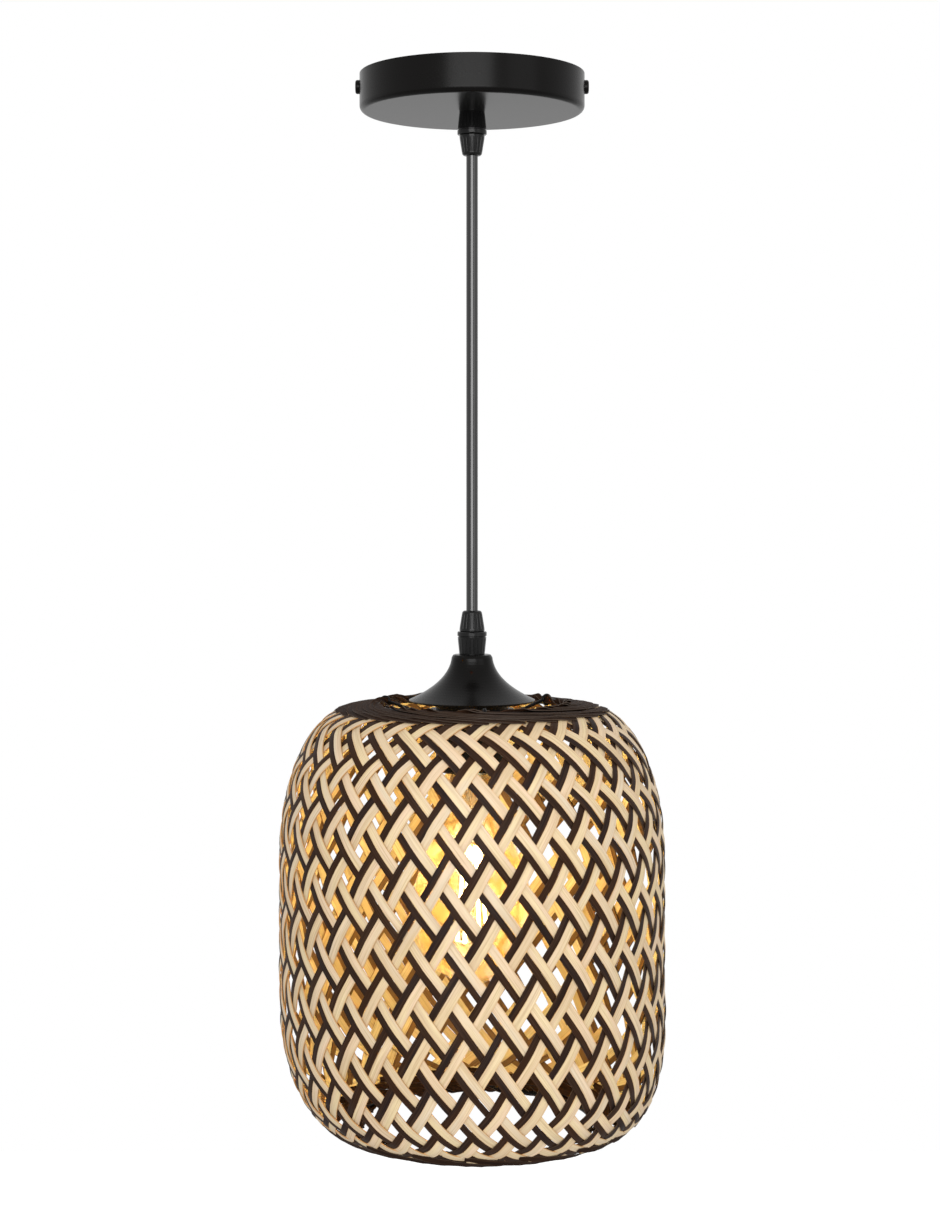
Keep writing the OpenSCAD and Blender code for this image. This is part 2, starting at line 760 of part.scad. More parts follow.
// Rows are the heights at which strands cross. The last one lies inside the bottom border,
// and above the first one the strips run on into the top border
end_inset = 2.2;
strip_start = top_band_reach - end_inset;
row_end = min([for (p = radius_at)
    if (p[0] > line_s[arc_steps] && p[1] < foot_band_d / 2 - end_inset / 2) p[0]]);
count_at = [for (s = first_row_s, t = 0; s < row_end + 1; t = t + 1 / row_height(s), s = s + 1)
    [t, s]];
count_end = count_at[len(count_at) - 1][0];
last_row = ceil(count_end);
first_ring = (strip_start - first_row_s) / least_row;

function row_s(k) =
    k < 0 ? first_row_s + k * least_row : lookup(k * count_end / last_row, count_at);

// Left strands lie outside on the first two rows, right strands on the next two, and from
// there on they take turns. A pair of rows has one corner, further out, between its rows
pair_ring = 2.5;
rings = concat([first_ring, 1, pair_ring], [for (k = [4:last_row]) k]);
front_row = 7;
front_turn = 265;
function row_side(k) = k < 2 || (k > pair_ring && k % 2 == 0) ? -1 : 1;

function row_width(k) =
    k == first_ring || k == last_row ? rim_taper
        : min(1, rim_taper + (1 - rim_taper) * (row_height(row_s(k)) - least_row) / 4);

function row_crimp(k) =
    k == first_ring || k == last_row ? (band_gap - strip_t) / 2 - 2 * seat
        : k == pair_ring ? pair_crimp : crimp;

// Corners of a strip at row k: a flat outer face and a ridge inside.
// hand is 1 for right strands and -1 for left ones; from and to are the strip's edges,
// measured across the strand from its middle
function strip_ring(k, turn, hand, from, to) =
    let (s = row_s(k),
        p = on_weave(s),
        n2 = weave_normal(s),
        share = hand > 0 ? right_share : right_share - 1,
        a = front_turn + turn + (k - front_row) * share * pitch,
        out = [n2.x * cos(a), n2.x * sin(a), n2.y],
        round = [-sin(a), cos(a), 0],
        down = cross(round, out),
        lean = atan(lean_tan(p.x, hand > 0 ? right_lean : left_lean)),
        across = cos(lean) * round - hand * sin(lean) * down,
        mid = [p.x * cos(a), p.x * sin(a), p.y] + row_side(k) * hand * row_crimp(k) * out,
        w = row_width(k))
    [mid + from * w * across + strip_t / 2 * out,
     mid + to * w * across + strip_t / 2 * out,
     mid + (from + to) / 2 * w * across - strip_t / 2 * out];

// All strips of one colour and one lean, as one set of separate closed solids
module strips(hand, from, to) {
    n = len(rings);
    points = [for (i = [0:strand_count - 1], k = rings)
        each strip_ring(k, i * pitch, hand, from, to)];
    faces = [for (i = [0:strand_count - 1]) let (base = 3 * n * i) each concat(
        [[base, base + 2, base + 1]],
        [for (k = [0:n - 2], c = [0:2])
            let (p = base + 3 * k, q = p + 3, m = (c + 1) % 3)
            each [[p + c, p + m, q + m], [p + c, q + m, q + c]]],
        [[base + 3 * n - 3, base + 3 * n - 2, base + 3 * n - 1]])];
    polyhedron(points, faces, convexity = 10);
}

right_w = right_natural_w + strip_gap + right_black_w;
left_w = left_natural_w + strip_gap + left_black_w;

module right_natural_strips() color([0.86, 0.74, 0.53]) {
    strips(1, right_w / 2 - right_natural_w, right_w / 2);
}

module right_black_strips() color([0.13, 0.1, 0.08]) {
    strips(1, -right_w / 2, -right_w / 2 + right_black_w);
}

module left_natural_strips() color([0.86, 0.74, 0.53]) {
    strips(-1, left_w / 2 - left_natural_w, left_w / 2);
}

module left_black_strips() color([0.13, 0.1, 0.08]) {
    strips(-1, -left_w / 2, -left_w / 2 + left_black_w);
}

// ---- Borders: two bands that hold the strip ends and a hoop between them ----

function top_band_line(reach) =
    reach < 0 ? [rim_line()[0], rim_point(top_r + reach)]
        : concat([rim_line()[0]],
            [for (i = [0:arc_steps]) if (line_s[i] < reach - 0.2) weave_line[i]],
            [on_weave(reach)]);

function foot_band_line() =
    concat([for (p = foot_curve()) if (p.x < foot_band_d / 2) p], [[foot_hole_d / 2, foot_z]]);

// The inner band ends at the strips' ends, so that they can bend inward past its edge
module top_band(side) {
    near = side * band_gap / 2;
    reach = side > 0 ? top_band_reach : strip_start - right_w * rim_taper / 2;
    difference() {
        rotate_extrude($fn = 120)
            polygon(wall_outline(top_band_line(reach), near, near + side * band_t));
        for (i = [0:arm_count - 1]) rotate(arm_start + i * 360 / arm_count)
            translate([top_hole_d / 2 - 2, -notch_w / 2, shade_top - 3 * crust - 6])
                cube([top_hoop_r + eye_r + wire_d / 2 + loose - top_hole_d / 2 + 2, notch_w,
                    6 * crust + 6]);
    }
}

module foot_band(side) {
    near = side * band_gap / 2;
    rotate_extrude($fn = 120)
        polygon(wall_outline(foot_band_line(), near, near + side * band_t));
}

module hoop(r, z) {
    translate([0, 0, z])
        rotate_extrude($fn = 120)
            translate([r, 0])
                circle(d = hoop_d, $fn = 24);
}

module top_hoop() color([0.1, 0.1, 0.1]) { hoop(top_hoop_r, rim_point(top_hoop_r).y); }
module bottom_hoop() color([0.1, 0.1, 0.1]) { hoop(foot_hoop_r, foot_z); }
module top_border_outer() color([0.17, 0.13, 0.1]) { top_band(1); }
module top_border_inner() color([0.15, 0.11, 0.09]) { top_band(-1); }
module bottom_border_outer() color([0.17, 0.13, 0.1]) { foot_band(1); }
module bottom_border_inner() color([0.15, 0.11, 0.09]) { foot_band(-1); }

// ---- Bulb ----

module bulb_contact() color("silver") {
    round_r = 0.6 * contact_h;
    translate([0, 0, holder_top - bulb_tip - contact_h])
        rotate_extrude()
            polygon(concat([[0, 0], [tip_r, 0]],
                arc([tip_r - round_r, contact_h - round_r], round_r, 0, 90, 6), [[0, contact_h]]));
}

module bulb_insulator() color([0.05, 0.05, 0.06]) {
    top = holder_top - bulb_tip - contact_h;
    translate([0, 0, top - insulator_h])
        cylinder(r1 = bulb_shell_d / 2 - 1.5, r2 = tip_r + 0.6, h = insulator_h);
}

// Thread of the shell as a wavy profile
module bulb_screw_shell() color("silver") {
    top = holder_top - bulb_tip - contact_h - insulator_h;
    h = bulb_shell_h;
    turns = 4;
    r = bulb_shell_d / 2 - thread_depth;
    wave = [for (i = [0:turns * 8])
        [r + thread_depth * cos(i * 45), top - 1.5 - (h - 3) * i / turns / 8]];
    difference() {
        rotate_extrude()
            polygon(concat([[0, top], [bulb_shell_d / 2 - 1.5, top]], wave,
                [[r, top - h], [0, top - h]]));
        translate([0, 0, top - h - overrun])
            cylinder(r = bulb_shell_in_r, h = h);
    }
}

function glass_line() =
    let (top = holder_top - glass_top, belly = holder_top - glass_belly,
        low = holder_top - bulb_end, drop = belly - low)
    concat([[glass_neck_r, top]],
        bezier([glass_neck_r, top - glass_neck_run], [1.28 * glass_neck_r, top - glass_flank],
            [0.8 * glass_r, belly + glass_flank], 10),
        bezier([0.83 * glass_r, belly + 0.885 * glass_flank], [glass_r, belly + 0.35 * glass_flank],
            [glass_r, belly], 6),
        [for (i = [1:12]) let (a = 90 * i / 12) [glass_r * cos(a), belly - drop * sin(a)]]);

// Blown envelope, open at the top where the stem is fused in
module bulb_glass() color([0.9, 0.6, 0.25, 0.4]) {
    line = glass_line();
    n = len(line) - 1;
    inner = [for (i = [0:n - 1]) line[i] - glass_wall * line_normal(line, i)];
    rotate_extrude($fn = 96)
        polygon(concat(line, [[0, line[n].y + glass_wall]], reversed(inner)));
}

module bulb_stem() color([0.9, 0.92, 0.92, 0.5]) {
    top = holder_top - glass_top;
    neck = holder_top - filament_top + stem_rise;
    tip = holder_top - filament_top - filament_l / 2;
    rim = glass_neck_r - glass_wall - seat;
    difference() {
        rotate_extrude()
            polygon([[0, tip], [stem_rod_r, tip], [stem_rod_r, neck - stem_cone_h],
                [stem_neck_r, neck], [stem_flare_r, neck + stem_flare_h],
                [stem_foot_r, top - stem_cone_h], [rim, top - 1.5], [rim, top], [0, top]]);
        translate([0, 0, neck + stem_flare_h + 2])
            cylinder(r = stem_bore_r, h = top - neck);
    }
}

// Two star-shaped wire holders, one at each end of the filaments
module bulb_filament_wires() color("silver") {
    for (end = [0, 1]) {
        z = holder_top - filament_top - end * (filament_l + 4 * filament_tuck);
        r = end == 0 ? filament_r_top : filament_r_low;
        hub_r = end == 0 ? filament_hub_r : filament_hub_r - filament_wire_d / 2;
        hole_r = end == 0 ? stem_rod_r + seat : filament_wire_d / 2;
        translate([0, 0, z]) difference() {
            cylinder(r = hub_r, h = filament_hub_h, center = true);
            cylinder(r = hole_r, h = filament_hub_h + 2 * overrun, center = true);
        }
        for (i = [0:filament_count - 1]) rotate(i * 360 / filament_count)
            translate([0.75 * filament_hub_r, 0, z])
                rotate([0, 90, 0])
                    cylinder(d = filament_wire_d, h = r - 0.6 * filament_hub_r, $fn = 16);
    }
}

module bulb_filaments() color("orange") {
    top = holder_top - filament_top - filament_tuck;
    low = holder_top - filament_top - filament_l - 3 * filament_tuck;
    lean = atan((filament_r_low - filament_r_top) / (top - low));
    for (i = [0:filament_count - 1]) rotate(i * 360 / filament_count)
        translate([filament_r_low, 0, low])
            rotate([0, -lean, 0])
                cylinder(d = filament_d, h = (top - low) / cos(lean), $fn = 16);
}

mounting_bracket();
side_screws();
earth_screw();
canopy();
terminal_block();
terminal_clamps();
canopy_leads();
earth_lead();
lock_washer();
lock_nut();
upper_grip_body();
upper_grip_chuck();
upper_grip_cap();
cord_tail();
cord_top();
pendant_cord();
cord_foot();
lower_grip_cap();
lower_grip_chuck();
lower_grip_body();
bell();
lampholder_cap();
lampholder_body();
lampholder_core();
socket_shell();
centre_contact();
holder_leads();
ring_nut();
shade_fitter();
top_hoop();
top_border_outer();
top_border_inner();
right_natural_strips();
right_black_strips();
left_natural_strips();
left_black_strips();
bottom_hoop();
bottom_border_outer();
bottom_border_inner();
bulb_contact();
bulb_insulator();
bulb_screw_shell();
bulb_glass();
bulb_stem();
bulb_filament_wires();
bulb_filaments();
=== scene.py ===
import bisect
import json
import math
import random

import bpy
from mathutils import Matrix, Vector


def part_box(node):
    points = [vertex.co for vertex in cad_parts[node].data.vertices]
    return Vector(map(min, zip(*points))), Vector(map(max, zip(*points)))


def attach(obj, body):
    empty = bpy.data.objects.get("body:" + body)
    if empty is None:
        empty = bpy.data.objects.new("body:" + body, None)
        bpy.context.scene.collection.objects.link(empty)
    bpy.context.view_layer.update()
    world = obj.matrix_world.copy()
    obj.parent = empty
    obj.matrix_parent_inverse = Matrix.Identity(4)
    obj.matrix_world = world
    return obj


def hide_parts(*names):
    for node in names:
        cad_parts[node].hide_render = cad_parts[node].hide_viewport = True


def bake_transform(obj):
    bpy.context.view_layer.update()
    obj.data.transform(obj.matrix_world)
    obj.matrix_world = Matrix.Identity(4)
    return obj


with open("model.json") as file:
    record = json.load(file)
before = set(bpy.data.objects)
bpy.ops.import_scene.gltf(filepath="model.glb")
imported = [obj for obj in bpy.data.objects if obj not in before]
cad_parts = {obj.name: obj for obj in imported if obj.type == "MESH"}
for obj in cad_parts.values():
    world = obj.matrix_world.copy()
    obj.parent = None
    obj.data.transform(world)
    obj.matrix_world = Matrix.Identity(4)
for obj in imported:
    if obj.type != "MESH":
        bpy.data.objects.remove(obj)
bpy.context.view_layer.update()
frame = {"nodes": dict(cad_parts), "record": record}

nodes = frame["nodes"]
mm = 0.001


# Small helpers for picking, joining and finishing pieces
def clearSelection():
    if bpy.context.object and bpy.context.object.mode != "OBJECT":
        bpy.ops.object.mode_set(mode="OBJECT")
    bpy.ops.object.select_all(action="DESELECT")


def makeActive(piece):
    clearSelection()
    piece.select_set(True)
    bpy.context.view_layer.objects.active = piece


def applyModifiers(piece):
    makeActive(piece)
    for name in [m.name for m in piece.modifiers]:
        bpy.ops.object.modifier_apply(modifier=name)


def applyPlace(piece):
    makeActive(piece)
    bpy.ops.object.transform_apply(location=True, rotation=True, scale=True)


def joinPieces(pieces, name):
    clearSelection()
    for piece in pieces:
        piece.select_set(True)
    bpy.context.view_layer.objects.active = pieces[0]
    bpy.ops.object.join()
    joined = bpy.context.object
    joined.name = name
    joined.data.name = name
    return joined


def smoothByAngle(piece, degrees):
    makeActive(piece)
    bpy.ops.object.shade_smooth_by_angle(angle=math.radians(degrees))


def setMaterials(piece, *materials):
    piece.data.materials.clear()
    for material in materials:
        piece.data.materials.append(material)


def toScene(name, data):
    thing = bpy.data.objects.new(name, data)
    bpy.context.scene.collection.objects.link(thing)
    return thing


# Short names for the nodes of one material
class Nodes:
    def __init__(self, name):
        self.material = bpy.data.materials.new(name)
        self.material.use_nodes = True
        self.tree = self.material.node_tree
        self.shader = self.tree.nodes["Principled BSDF"]

    def add(self, kind, **settings):
        node = self.tree.nodes.new(kind)
        for key, value in settings.items():
            if key in node.inputs:
                node.inputs[key].default_value = value
            else:
                setattr(node, key, value)
        return node

    def link(self, source, target):
        self.tree.links.new(source, target)

    def set(self, name, value):
        self.shader.inputs[name].default_value = value

    def scaled(self, coordinates, scale):
        mapping = self.add("ShaderNodeMapping")
        mapping.inputs["Scale"].default_value = scale
        self.link(coordinates, mapping.inputs["Vector"])
        return mapping.outputs["Vector"]

    def place(self, scale=(1, 1, 1)):
        return self.scaled(self.add("ShaderNodeTexCoord").outputs["Object"], scale)

    def mapPlace(self, mapName, scale):
        return self.scaled(self.add("ShaderNodeUVMap", uv_map=mapName).outputs["UV"], scale)

    def attribute(self, name):
        return self.add("ShaderNodeAttribute", attribute_name=name).outputs["Fac"]

    def noise(self, vector, scale, detail, roughness=0.5, distortion=0):
        node = self.add("ShaderNodeTexNoise", Scale=scale, Detail=detail,
                        Roughness=roughness, Distortion=distortion)
        self.link(vector, node.inputs["Vector"])
        return node.outputs["Fac"]

    def ramp(self, factor, *stops):
        node = self.add("ShaderNodeValToRGB")
        elements = node.color_ramp.elements
        while len(elements) < len(stops):
            elements.new(0.5)
        for element, (position, colour) in zip(elements, stops):
            element.position = position
            element.color = (*colour, 1)
        self.link(factor, node.inputs["Fac"])
        return node.outputs["Color"]

    def mix(self, factor, first, second):
        node = self.add("ShaderNodeMix", data_type="RGBA")
        for value, socket in ((factor, 0), (first, 6), (second, 7)):  # 6 and 7 are its colours
            if isinstance(value, tuple):
                node.inputs[socket].default_value = (*value, 1)
            else:
                self.link(value, node.inputs[socket])
        return node.outputs[2]

    def stretch(self, value, low, high, toLow, toHigh):
        node = self.add("ShaderNodeMapRange")
        ends = (("From Min", low), ("From Max", high), ("To Min", toLow), ("To Max", toHigh))
        for key, number in ends:
            node.inputs[key].default_value = number
        self.link(value, node.inputs["Value"])
        return node.outputs["Result"]

    def spread(self, noise, toLow, toHigh):
        return self.stretch(noise, 0.3, 0.7, toLow, toHigh)  # noise mostly lies in between

    def colour(self, source):
        self.link(source, self.shader.inputs["Base Color"])

    def roughness(self, source):
        self.link(source, self.shader.inputs["Roughness"])

    def bump(self, height, strength, distance):
        node = self.add("ShaderNodeBump", Strength=strength, Distance=distance)
        self.link(height, node.inputs["Height"])
        self.link(node.outputs["Normal"], self.shader.inputs["Normal"])


# Split bamboo: fibres run along the strip, and each strip has its own tone. A pattern has its
# scale along the strip and across it, its detail and its roughness. Where it shows goes from
# one of its values to another, and from none to so much of its colour.
bambooGrain = {
    "fibres": (90, 5200, 5, 0.62), "fibresShow": (0.52, 0.68, 0, 0.6),
    "bundles": (30, 1500, 3, 0.55), "bundlesShow": (0.48, 0.66, 0, 0.7),
    "patches": (45, 260, 3, 0.5), "patchesShow": (0.35, 0.7, 0, 0.45),
    "firstCast": (16, 110, 2, 0.5), "secondCast": (21, 140, 2, 0.5),
    "thirdCast": (26, 170, 2, 0.5), "castsShow": (0.48, 0.6, 0, 0.8),
    "edgeShows": (0.72, 1, 0, 0.55), "depth": 0.12 * mm,
}
# pale and deep are the ends of a strip's tone, streak its fibres, edge the colour it takes towards
# its long edges
bambooLooks = {
    "naturalBambooOuter": {
        "pale": (0.72, 0.575, 0.39), "deep": (0.60, 0.445, 0.265),
        "streak": (0.47, 0.32, 0.17), "edge": (0.56, 0.32, 0.13),
        "casts": ((0.67, 0.57, 0.425), (0.745, 0.55, 0.375), (0.735, 0.595, 0.34)),
        "rough": (0.42, 0.62), "bump": 0.35,
    },
    # The inside of the natural strips: the same bamboo, painted paler and more golden with the
    # bulb's light
    "naturalBambooInner": {
        "pale": (0.90, 0.76, 0.37), "deep": (0.60, 0.42, 0.15),
        "streak": (0.48, 0.30, 0.09), "edge": (0.66, 0.40, 0.12),
        "rough": (0.55, 0.75), "bump": 0.4,
    },
    "naturalBambooEdge": {
        "pale": (0.62, 0.36, 0.15), "deep": (0.50, 0.27, 0.10),
        "streak": (0.38, 0.18, 0.06), "edge": (0.5, 0.25, 0.08),
        "rough": (0.6, 0.8), "bump": 0.4,
    },
    "blackBambooOuter": {
        "pale": (0.013, 0.006, 0.004), "deep": (0.026, 0.012, 0.006),
        "streak": (0.050, 0.026, 0.015), "edge": (0.050, 0.020, 0.007),
        "casts": ((0.011, 0.008, 0.009), (0.032, 0.012, 0.004)),
        "rough": (0.40, 0.62), "bump": 0.3, "shine": 0.07,
    },
    # The inside of the black strips: painted far lighter and browner, as the bulb's light shows it
    "blackBambooInner": {
        "pale": (0.22, 0.105, 0.020), "deep": (0.14, 0.062, 0.010),
        "streak": (0.080, 0.034, 0.007), "edge": (0.12, 0.052, 0.010),
        "rough": (0.5, 0.7), "bump": 0.4, "shine": 0.3,
    },
    "blackBambooEdge": {
        "pale": (0.045, 0.028, 0.018), "deep": (0.03, 0.018, 0.012),
        "streak": (0.08, 0.05, 0.03), "edge": (0.04, 0.024, 0.014),
        "rough": (0.5, 0.7), "bump": 0.4, "shine": 0.3,
    },
    "blackBambooBorder": {
        "pale": (0.009, 0.004, 0.0028), "deep": (0.020, 0.010, 0.006),
        "streak": (0.055, 0.026, 0.013), "edge": (0.050, 0.021, 0.008),
        "rough": (0.50, 0.70), "bump": 0.4, "shine": 0.015,
    },
}


def bambooMaterial(name, pale, deep, streak, edge, rough, bump, shine=0.5, casts=()):
    build = Nodes(name)
    build.set("Specular IOR Level", shine)

    def pattern(kind):
        along, across, detail, roughness = bambooGrain[kind]
        return build.noise(build.mapPlace("grain", (along, across, 1)), 1, detail, roughness)

    def tint(base, source, shows, colour):
        return build.mix(build.stretch(source, *bambooGrain[shows]), base, colour)

    fibres = pattern("fibres")
    base = build.mix(build.attribute("tone"), pale, deep)
    # Each cast of colour shows on some strips, a few centimetres at a time
    for kind, cast in zip(("firstCast", "secondCast", "thirdCast"), casts):
        base = tint(base, pattern(kind), "castsShow", cast)
    base = tint(base, pattern("patches"), "patchesShow", deep)
    base = tint(base, pattern("bundles"), "bundlesShow", streak)
    base = tint(base, fibres, "fibresShow", streak)
    base = tint(base, build.attribute("edge"), "edgeShows", edge)
    build.colour(base)
    build.roughness(build.spread(fibres, *rough))
    build.bump(fibres, bump, bambooGrain["depth"])
    return build.material


bamboo = {name: bambooMaterial(name, **look) for name, look in bambooLooks.items()}
print("bamboo ready")


# Level and straight ahead; the shift takes in the shade below
camera = {
    "distance": 1.158, "height": -0.2237, "side": -0.0011,
    "lens": 64.30, "sensor": 36, "shiftDown": 0.0935, "near": 0.05, "far": 50,
}

cameraData = bpy.data.cameras.new("camera")
cameraData.lens = camera["lens"]
cameraData.sensor_width = camera["sensor"]
cameraData.shift_y = -camera["shiftDown"]
cameraData.clip_start = camera["near"]
cameraData.clip_end = camera["far"]
cameraObject = toScene("camera", cameraData)
cameraObject.location = (camera["side"], -camera["distance"], camera["height"])
cameraObject.rotation_euler = (math.radians(90), 0, 0)
bpy.context.scene.camera = cameraObject
print("camera ready")


# Two short pieces, cut into rings, sit at the swing hinges, and the long one below them stays
# straight
cord = {
    "diameter": 6.2 * mm, "sides": 32, "bendRings": 8, "runRings": 20, "smoothAngle": 40,
    "start": -43.4 * mm, "bendMiddle": -50.5 * mm, "bendEnd": -57.9 * mm, "end": -285.88 * mm,
    "colour": (0.0025, 0.0025, 0.0025), "lighter": 1.5, "rough": (0.1, 0.16), "shine": 0.6,
    "grain": 900, "grainBump": 0.03, "grainDepth": 0.03 * mm, "cloud": 60,
}


def sheathMaterial():
    build = Nodes("cordSheath")
    grain = build.noise(build.place((1, 1, 0.2)), cord["grain"], 3)
    cloud = build.noise(build.place((1, 1, 0.35)), cord["cloud"], 2)
    lighter = tuple(c * cord["lighter"] for c in cord["colour"])
    build.colour(build.mix(build.spread(cloud, 0, 1), cord["colour"], lighter))
    build.roughness(build.spread(cloud, *cord["rough"]))
    build.bump(grain, cord["grainBump"], cord["grainDepth"])
    build.set("Specular IOR Level", cord["shine"])
    return build.material


cordSheath = sheathMaterial()


def cordPiece(name, top, low, rings):
    clearSelection()
    bpy.ops.mesh.primitive_cylinder_add(vertices=cord["sides"], radius=cord["diameter"] / 2,
                                        depth=top - low, location=(0, 0, (top + low) / 2))
    piece = bpy.context.object
    piece.name = name
    applyPlace(piece)
    bpy.ops.object.mode_set(mode="EDIT")
    for i in range(1, rings):
        bpy.ops.mesh.select_all(action="SELECT")
        bpy.ops.mesh.bisect(plane_co=(0, 0, low + (top - low) * i / rings), plane_no=(0, 0, 1))
    bpy.ops.object.mode_set(mode="OBJECT")
    smoothByAngle(piece, cord["smoothAngle"])
    setMaterials(piece, cordSheath)
    return piece


start, middle, bent, end = (cord[k] for k in ("start", "bendMiddle", "bendEnd", "end"))
cordBendUpper = cordPiece("cordBendUpper", start, middle, cord["bendRings"])
cordBendLower = cordPiece("cordBendLower", middle, bent, cord["bendRings"])
cordRun = cordPiece("cordRun", bent, end, cord["runRings"])
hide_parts("cord_top")
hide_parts("cord_top")
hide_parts("pendant_cord")
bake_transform(cordBendUpper)
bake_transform(cordBendLower)
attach(cordRun, "cord")
print("cord ready")


# Middle of the weave, as in the CAD: a line from the top collar round the belly to the foot
shade = {
    "beltRadius": 101.5 * mm, "collarRadius": 63.75 * mm, "footRadius": 69.8 * mm,
    "collarHeight": -338.5 * mm, "footHeight": -558.2 * mm,
    "topShoulder": 77.1 * mm, "footShoulder": 64.9 * mm, "footFullness": 2.2,
    "footLean": 4 * mm, "leanFrom": -470 * mm, "leanTo": -555 * mm, "steps": 160,
}


def shadeOutline():
    belt, collar, foot = shade["beltRadius"], shade["collarRadius"], shade["footRadius"]
    steps = shade["steps"]
    angles = [math.pi / 2 * i / steps for i in range(steps + 1)]
    points = [(collar + (belt - collar) * math.sin(a),
               shade["collarHeight"] - shade["topShoulder"] * (1 - math.cos(a))) for a in angles]
    power = 2 / shade["footFullness"]
    points += [(foot + (belt - foot) * math.sin(a) ** power,
                shade["footHeight"] + shade["footShoulder"] * (1 - max(math.cos(a), 0) ** power))
               for a in reversed(angles)]
    return points


def runLengths(points):
    along = [0.0]
    for before, after in zip(points, points[1:]):
        along.append(along[-1] + math.dist(before, after))
    return along


def between(table, values, x):
    i = min(max(bisect.bisect_right(table, x) - 1, 0), len(table) - 2)
    share = (x - table[i]) / (table[i + 1] - table[i] or 1)
    a, b = values[i], values[i + 1]
    if isinstance(a, float):
        return a + (b - a) * share
    return tuple(p + (q - p) * share for p, q in zip(a, b))


outline = shadeOutline()
outlineAlong = runLengths(outline)


def outlineAt(along):
    return between(outlineAlong, outline, along)


def direction(a, b):
    return Vector((b[0] - a[0], b[1] - a[1])).normalized()


# The shade hangs a little out of true: its foot sits to one side
def settled(point):
    t = (shade["leanFrom"] - point.z) / (shade["leanFrom"] - shade["leanTo"])
    t = min(max(t, 0), 1)
    return Vector((point.x + shade["footLean"] * t * t, point.y, point.z))


def turned(radius, angle, height):
    return Vector((radius * math.cos(angle), radius * math.sin(angle), height))


# A slow, smooth wobble with its own seed; each wave is a shortest and a longest length
def wobble(seed, waves):
    draw = random.Random(seed)
    parts = [(draw.uniform(*wave), draw.uniform(0, 2 * math.pi), draw.uniform(0.5, 1))
             for wave in waves]

    def value(along):
        return sum(size * math.sin(2 * math.pi * along / length + phase)
                   for length, phase, size in parts) / len(parts)
    return value


# The two long edges of a strip, each split a little unevenly
def roughEdges(seed, waves, depth):
    rough = [wobble(seed + i, waves) for i in range(2)]
    return [lambda along, r=r: depth * r(along) for r in rough]


stripFinish = {"sideShift": 0.03, "smoothAngle": 35}


# A flat strip laid as a grid. Each of lines is a station along it: its middle, the direction
# across, the normal, the distance along the strip and the share of its width
def laidStrip(lines, columns, half, centre, tone, edges, crown, grainStart):
    stations = len(lines) - 1
    clearSelection()
    bpy.ops.mesh.primitive_grid_add(x_subdivisions=stations, y_subdivisions=columns - 1, size=1)
    strip = bpy.context.object
    mesh = strip.data
    grain = mesh.uv_layers.new(name="grain")
    toneLayer = mesh.attributes.new("tone", "FLOAT", "POINT")
    edgeLayer = mesh.attributes.new("edge", "FLOAT", "POINT")
    spots = {}
    for vertex in mesh.vertices:
        i = round((vertex.co.x + 0.5) * stations)
        v = (vertex.co.y + 0.5) * 2 - 1
        middle, across, normal, along, width = lines[i]
        rough = edges[0 if v < 0 else 1](along) * v * v
        reach = v * half * width + (rough if v > 0 else -rough)
        vertex.co = settled(middle + across * reach - normal * crown * v * v)
        toneLayer.data[vertex.index].value = tone
        edgeLayer.data[vertex.index].value = abs(v)
        aside = centre + v * half + grainStart * stripFinish["sideShift"]
        spots[vertex.index] = (along + grainStart, aside)
    for loop in mesh.loops:
        grain.data[loop.index].uv = spots[loop.vertex_index]
    mesh.uv_layers.active = grain
    return strip


# Gives the strips their thickness; the outer face, the inner face and the sides differ in look
def finishedStrips(strips, name, node, thickness, materials):
    piece = joinPieces(strips, name)
    setMaterials(piece, *materials)
    thick = piece.modifiers.new("thickness", "SOLIDIFY")
    thick.thickness = thickness
    thick.offset = 0
    thick.material_offset = 1
    thick.material_offset_rim = 2
    applyModifiers(piece)
    smoothByAngle(piece, stripFinish["smoothAngle"])
    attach(piece, "lamp")
    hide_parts(node)
    print(name, "laid,", len(piece.data.polygons), "faces")


weave = {
    "strandCount": 33,  # each way
    "rightLean": 36, "leftLean": 31, "mostLean": 0.98,  # degrees at the belly; a sine
    "right": (4.75 * mm, 3.35 * mm), "left": (4.75 * mm, 3.55 * mm),  # natural and black widths
    "stripGap": 0.06 * mm, "thickness": 0.5 * mm, "crown": 0.1 * mm,
    "rows": 19, "pairedRows": 4, "leastRow": 8 * mm, "countStep": 1 * mm,
    "rowStart": 5 * mm, "rowEnd": 236 * mm,  # from the top collar, along the shade
    "frontRow": 7, "frontTurn": 265,  # one crossing lies at this row and at this turn in degrees
    "lift": 0.42 * mm, "crimp": 0.62 * mm, "rimCrimp": 0.55, "crimpRise": 0.45,
    "stationsPerRow": 5, "columns": 5,
    "rowStep": 0.02, "normalStep": 0.5 * mm, "grainStep": 0.3,
}
# Where the strips begin to lie down along each rim, and how they run in under the borders
weaveRims = {
    "topTip": -1.1, "topTurnFrom": 1.2, "topRoom": 0.2, "topEase": 1.7,
    "footTip": 20.2, "footTurnFrom": 18.0, "footRoom": 0.1, "footEase": 1.8, "footPast": 0.8 * mm,
}
# Small differences along each strip; a wave has a shortest and a longest length in metres
handwork = {
    "widthSpread": 0.07, "widthSwell": 0.05, "widthWaves": ((0.05, 0.12), (0.02, 0.04)),
    "wander": 0.28 * mm, "wanderWaves": ((0.07, 0.16), (0.035, 0.07)),
    "rise": 0.08 * mm, "riseWaves": ((0.03, 0.09),),
    "edgeRough": 0.09 * mm, "edgeWaves": ((0.006, 0.012), (0.012, 0.03), (0.003, 0.006)),
}
strandPitch = math.radians(360 / weave["strandCount"])
tanRight = math.tan(math.radians(weave["rightLean"]))
tanLeft = math.tan(math.radians(weave["leftLean"]))
rightShare = tanRight / (tanRight + tanLeft)


# Both leans grow where the shade narrows, so that the strands keep their pitch
def leanTan(radius, degrees):
    sine = shade["beltRadius"] * math.sin(math.radians(degrees)) / radius
    sine = min(sine, weave["mostLean"])
    return sine / math.sqrt(1 - sine * sine)


